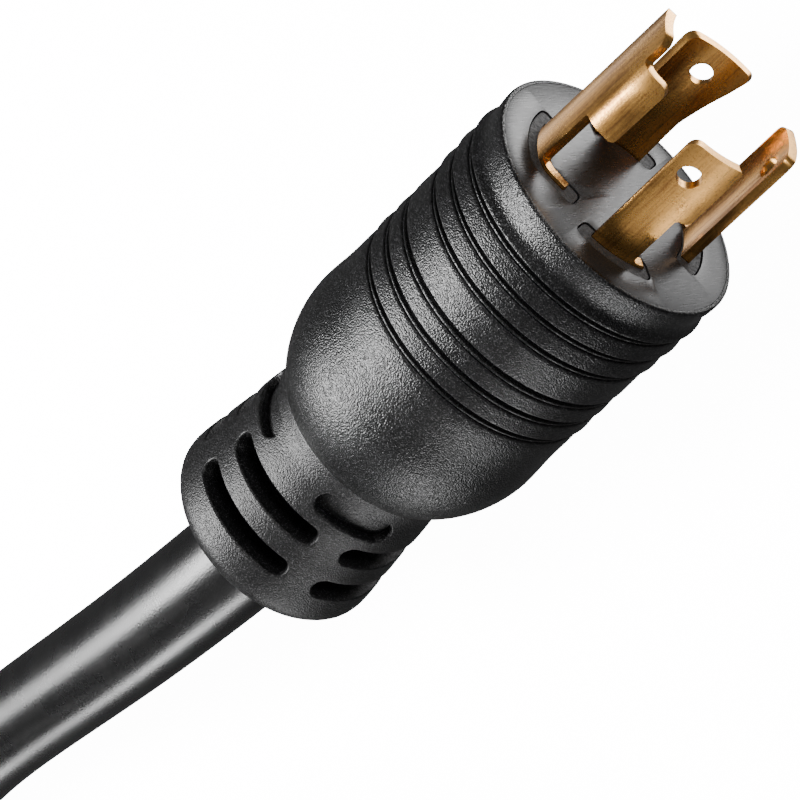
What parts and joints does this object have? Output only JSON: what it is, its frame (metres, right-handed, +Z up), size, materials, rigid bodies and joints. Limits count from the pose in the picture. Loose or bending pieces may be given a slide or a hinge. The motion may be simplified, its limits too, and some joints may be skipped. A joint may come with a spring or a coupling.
{
  "type": "shore power cord",
  "caption": "Coiled heavy rubber cable with a moulded round four-blade locking plug on one end, a matching moulded connector on the other, ribbed grips and slotted strain reliefs.",
  "frame": {"origin": "centre of the plug's mating face", "axes": "+X out of the plug's mating face along its blades, +Z up; the cord lies on a floor at z = -0.02165 m"},
  "size_m": [0.3812, 0.2966, 0.0766],
  "materials": {
    "overmould": "fine matt grain, moulded soft PVC",
    "strain_relief": "fine matt grain, moulded soft PVC",
    "face_plate": "satin",
    "holder": "rough moulded",
    "inner_fill": "moulded",
    "cable_jacket": "semi-gloss, lightly drawn",
    "blade": "plain stamped, slightly tarnished",
    "contact": "plain stamped",
    "conductor": "bare stranded copper",
    "core_line_x": "smooth",
    "core_line_y": "smooth",
    "core_neutral": "smooth",
    "core_ground": "smooth",
    "tie": "woven hook-and-loop"
  },
  "bodies": {
    "root": {"plug_overmould": "overmould", "plug_strain_relief": "strain_relief", "plug_face_plate": "face_plate", "plug_blade_holder": "holder", "plug_inner_fill": "inner_fill", "plug_cable_jacket_end": "cable_jacket", "blade_ground": "blade", "plug_insulation_ground": "core_ground", "plug_conductor_ground": "conductor", "blade_neutral": "blade", "plug_insulation_neutral": "core_neutral", "plug_conductor_neutral": "conductor", "blade_line_x": "blade", "plug_insulation_line_x": "core_line_x", "plug_conductor_line_x": "conductor", "blade_line_y": "blade", "plug_insulation_line_y": "core_line_y", "plug_conductor_line_y": "conductor", "connector_overmould": "overmould", "connector_strain_relief": "strain_relief", "connector_face_plate": "face_plate", "connector_contact_holder": "holder", "connector_inner_fill": "inner_fill", "connector_cable_jacket_end": "cable_jacket", "connector_contact_ground": "contact", "connector_insulation_ground": "core_ground", "connector_conductor_ground": "conductor", "connector_contact_neutral": "contact", "connector_insulation_neutral": "core_neutral", "connector_conductor_neutral": "conductor", "connector_contact_line_x": "contact", "connector_insulation_line_x": "core_line_x", "connector_conductor_line_x": "conductor", "connector_contact_line_y": "contact", "connector_insulation_line_y": "core_line_y", "connector_conductor_line_y": "conductor", "cord_run": "cable_jacket", "cord_coil": "cable_jacket", "cord_tail": "cable_jacket", "cord_tie_1": "tie", "cord_tie_2": "tie"}
  },
  "joints": []
}
